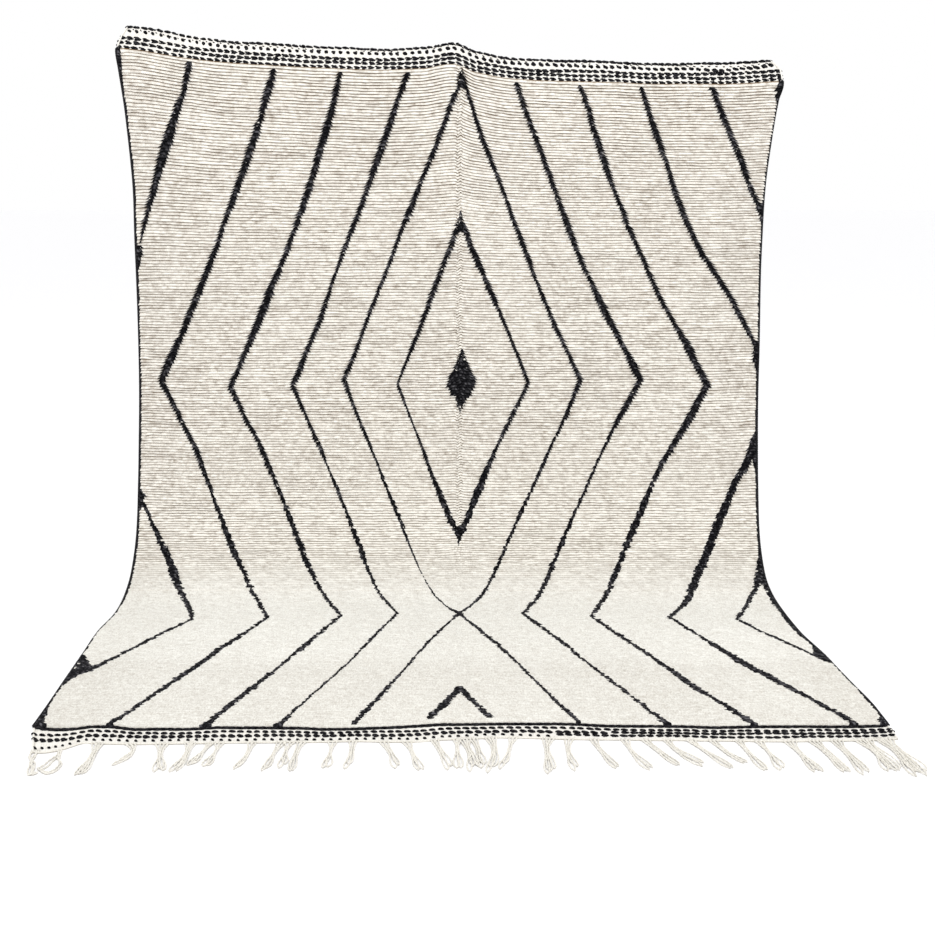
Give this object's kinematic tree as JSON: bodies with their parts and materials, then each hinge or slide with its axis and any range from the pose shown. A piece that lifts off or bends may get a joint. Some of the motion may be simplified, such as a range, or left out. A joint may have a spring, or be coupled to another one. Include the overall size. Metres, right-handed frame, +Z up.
{
  "type": "beni ourain rug",
  "caption": "Knotted wool pile rug with black zigzag lines round a central diamond, flat-woven ends and a tasselled lower edge, hung by its top edge and swept forward over the floor.",
  "frame": {"origin": "on the floor, in the middle of the rug's bounding box", "axes": "+X along the held top edge, to the right of someone who faces the pile; -Y the way the lower part sweeps forward over the floor; +Z up"},
  "size_m": [2.6024, 1.8654, 2.1358],
  "materials": {
    "cream_wool": "undyed sheep's wool in knotted pile, matt and slightly fuzzy",
    "black_wool": "near-black wool, in the pile lines, the twined rows and the overcast sides",
    "flat_weave": "flat woven off-white wool with rows of black twining",
    "fringe_yarn": "loosely spun off-white warp yarn in looped tassels"
  },
  "bodies": {
    "root": {"pile_field": "cream_wool", "kilim_top": "flat_weave", "kilim_bottom": "flat_weave", "selvedge_left": "black_wool", "selvedge_right": "black_wool", "fringe": "fringe_yarn"}
  },
  "joints": []
}
